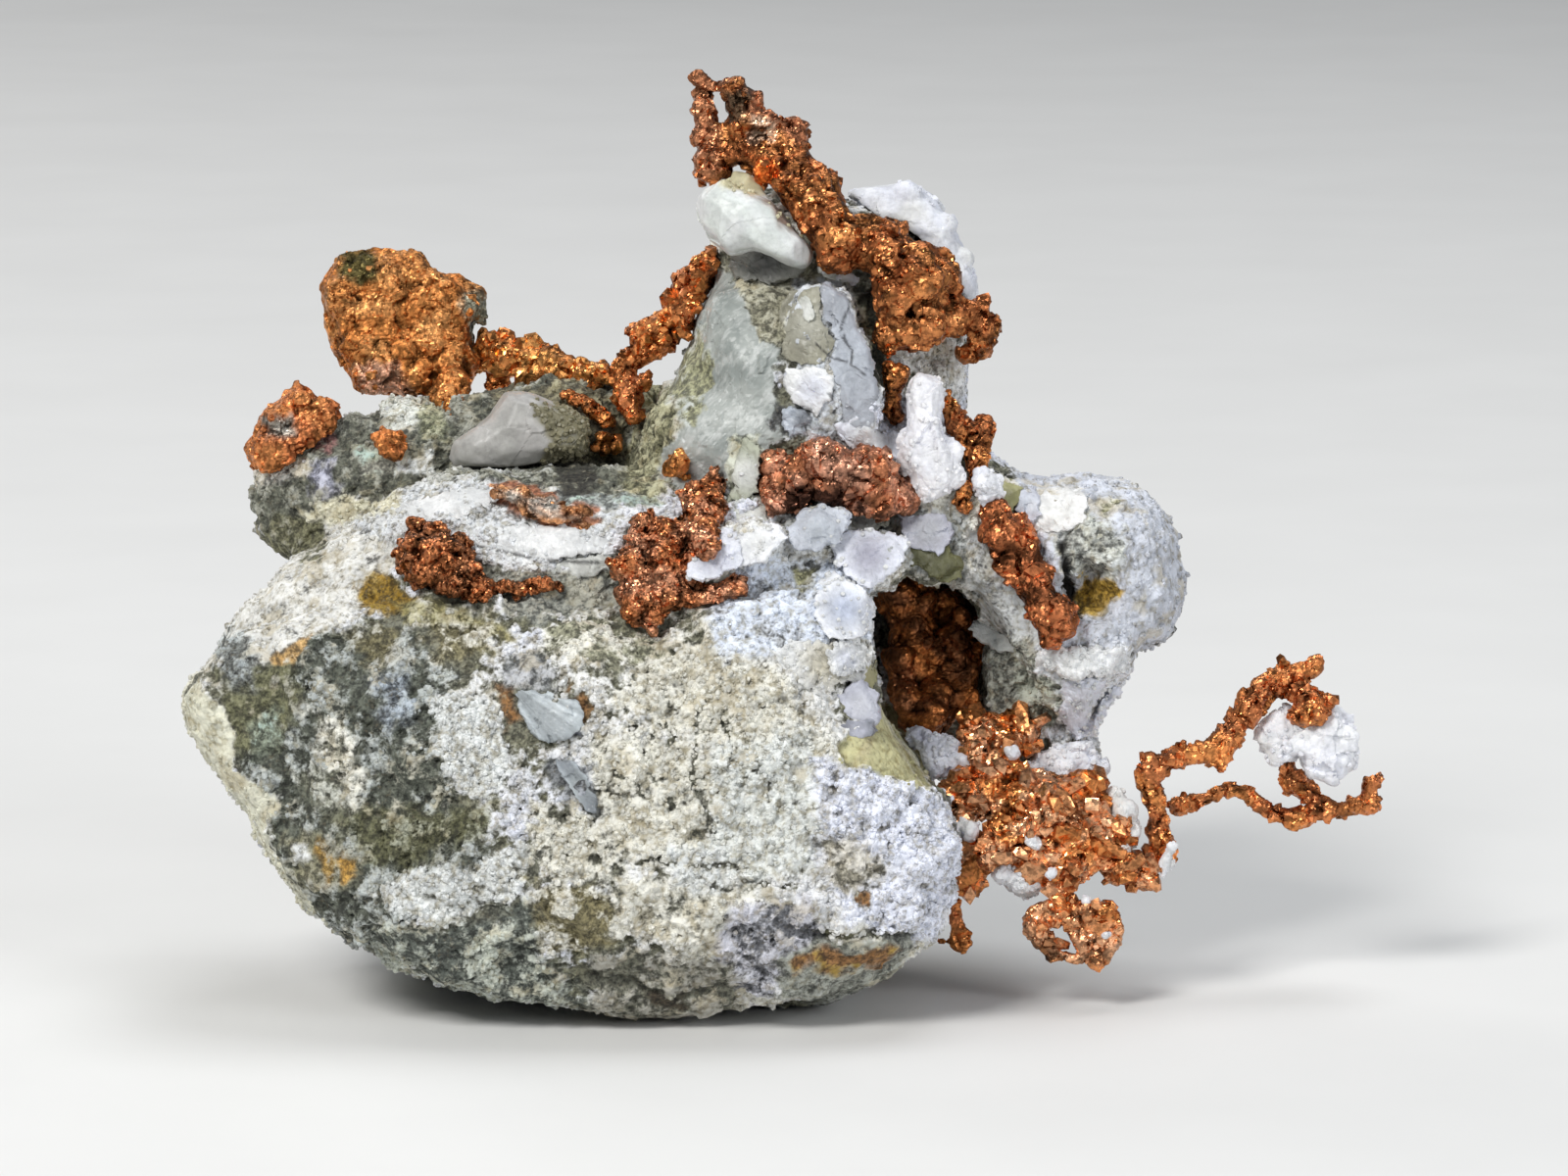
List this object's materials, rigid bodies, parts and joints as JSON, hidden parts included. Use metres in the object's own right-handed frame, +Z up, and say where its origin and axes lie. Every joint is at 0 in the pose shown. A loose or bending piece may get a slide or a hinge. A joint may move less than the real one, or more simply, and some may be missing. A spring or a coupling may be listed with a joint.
{
  "type": "native copper nugget",
  "caption": "Native copper on its matrix rock: crusted grey and white stone with a quartz spire, a copper crest, clumps, a plate, a spray and thin wires; stands on a flat foot.",
  "frame": {"origin": "centre of the bounding box at the level of the flat foot the specimen stands on", "axes": "+Z up, +X to the right along the specimen's width, -Y towards the display face"},
  "size_m": [0.061, 0.0286, 0.0465],
  "materials": {
    "matrix_rock": "rough crumbly mineral crust, grey-green to white",
    "white_crystal": "sugary white crystal crust, partly translucent",
    "native_copper": "bright to tarnished natural copper with small crystal faces"
  },
  "bodies": {
    "root": {"arch_crystal": "white_crystal", "blade_crystal": "white_crystal", "bridge_copper": "native_copper", "brow_copper": "native_copper", "cap_crystal": "white_crystal", "cave_copper": "native_copper", "chain_copper": "native_copper", "crest_copper": "native_copper", "end_copper": "native_copper", "flower_crystal": "white_crystal", "foil_copper": "native_copper", "gate_copper": "native_copper", "gate_flake": "native_copper", "grey_crystal": "white_crystal", "heel_crystal": "white_crystal", "hollow_nugget": "native_copper", "hook_copper": "native_copper", "knob_copper": "native_copper", "ledge_nugget": "native_copper", "ledge_seam": "native_copper", "lower_wire": "native_copper", "matrix_rock": "matrix_rock", "mouth_crystal": "white_crystal", "neck_crystal": "white_crystal", "outlier_copper": "native_copper", "paddle_copper": "native_copper", "ring_copper": "native_copper", "side_copper": "native_copper", "side_crystal": "white_crystal", "spray_copper": "native_copper", "spray_pearl": "white_crystal", "stair_copper": "native_copper", "tuft_crystal": "white_crystal", "under_crystal": "white_crystal", "upper_wire": "native_copper", "wing_crystal": "white_crystal"}
  },
  "joints": []
}
